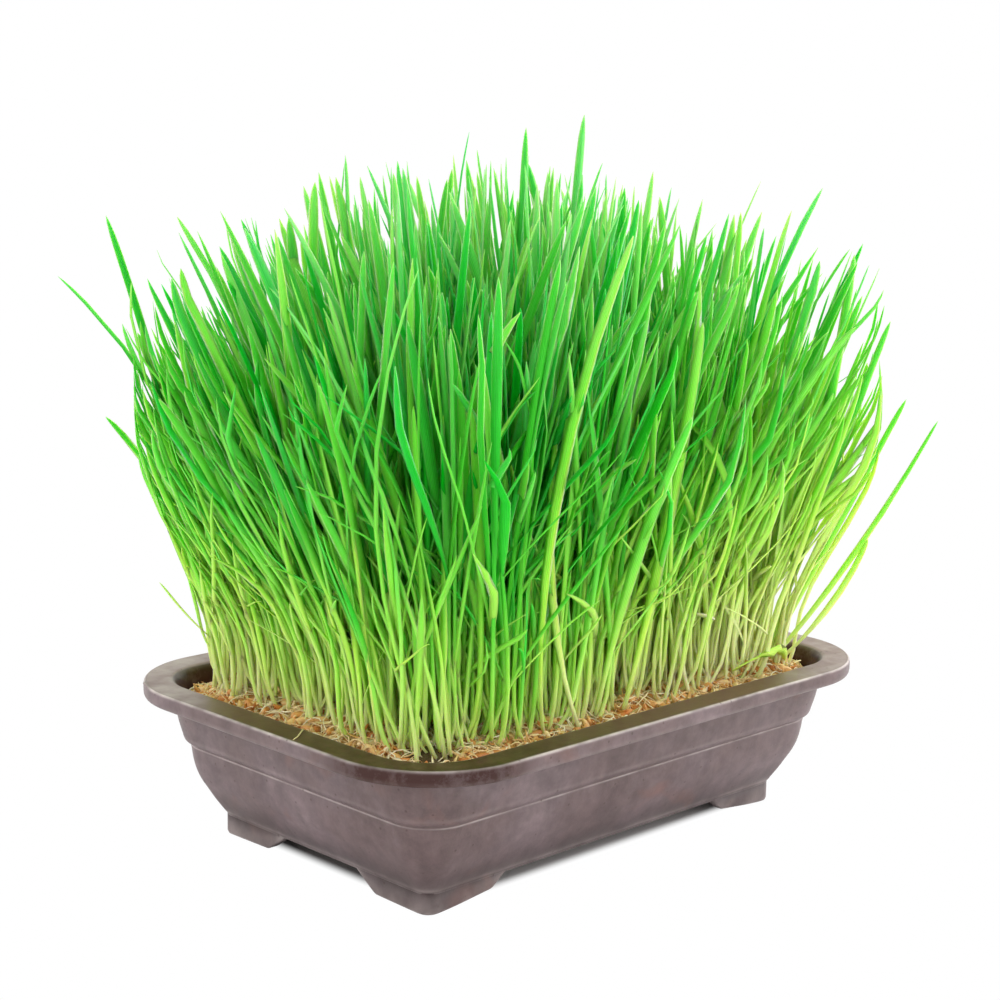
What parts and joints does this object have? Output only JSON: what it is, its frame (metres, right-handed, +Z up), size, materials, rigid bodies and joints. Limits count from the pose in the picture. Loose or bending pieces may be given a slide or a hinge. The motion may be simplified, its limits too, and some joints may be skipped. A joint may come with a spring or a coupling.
{
  "type": "wheatgrass tray",
  "caption": "Dense stand of young wheatgrass growing from a sprouted seed mat in a rectangular plastic tray with a wide lip and corner feet.",
  "frame": {"origin": "centre of the bounding box at the surface the feet stand on", "axes": "+X along the tray's long side, +Y along its short side, +Z up along the shoots"},
  "size_m": [0.3, 0.228, 0.268],
  "materials": {
    "tray_plastic": "moulded, satin, with dusty scuffs",
    "growing_medium": "damp and granular",
    "root_mat": "tangled roots and sprouted seed",
    "kernel": "dry satin grain",
    "grass": "satin young leaf, pale at the stem"
  },
  "bodies": {
    "root": {"tray": "tray_plastic", "growing_medium": "growing_medium", "root_mat": "root_mat", "shoots_1_1": "grass", "shoots_1_2": "grass", "shoots_1_3": "grass", "shoots_1_4": "grass", "shoots_1_5": "grass", "shoots_1_6": "grass", "shoots_1_7": "grass", "shoots_2_1": "grass", "shoots_2_2": "grass", "shoots_2_3": "grass", "shoots_2_4": "grass", "shoots_2_5": "grass", "shoots_2_6": "grass", "shoots_2_7": "grass", "shoots_3_1": "grass", "shoots_3_2": "grass", "shoots_3_3": "grass", "shoots_3_4": "grass", "shoots_3_5": "grass", "shoots_3_6": "grass", "shoots_3_7": "grass", "shoots_4_1": "grass", "shoots_4_2": "grass", "shoots_4_3": "grass", "shoots_4_4": "grass", "shoots_4_5": "grass", "shoots_4_6": "grass", "shoots_4_7": "grass", "shoots_5_1": "grass", "shoots_5_2": "grass", "shoots_5_3": "grass", "shoots_5_4": "grass", "shoots_5_5": "grass", "shoots_5_6": "grass", "shoots_5_7": "grass", "kernel_1": "kernel", "kernel_2": "kernel", "kernel_3": "kernel", "kernel_4": "kernel", "kernel_5": "kernel", "kernel_6": "kernel", "kernel_7": "kernel", "kernel_8": "kernel"}
  },
  "joints": []
}
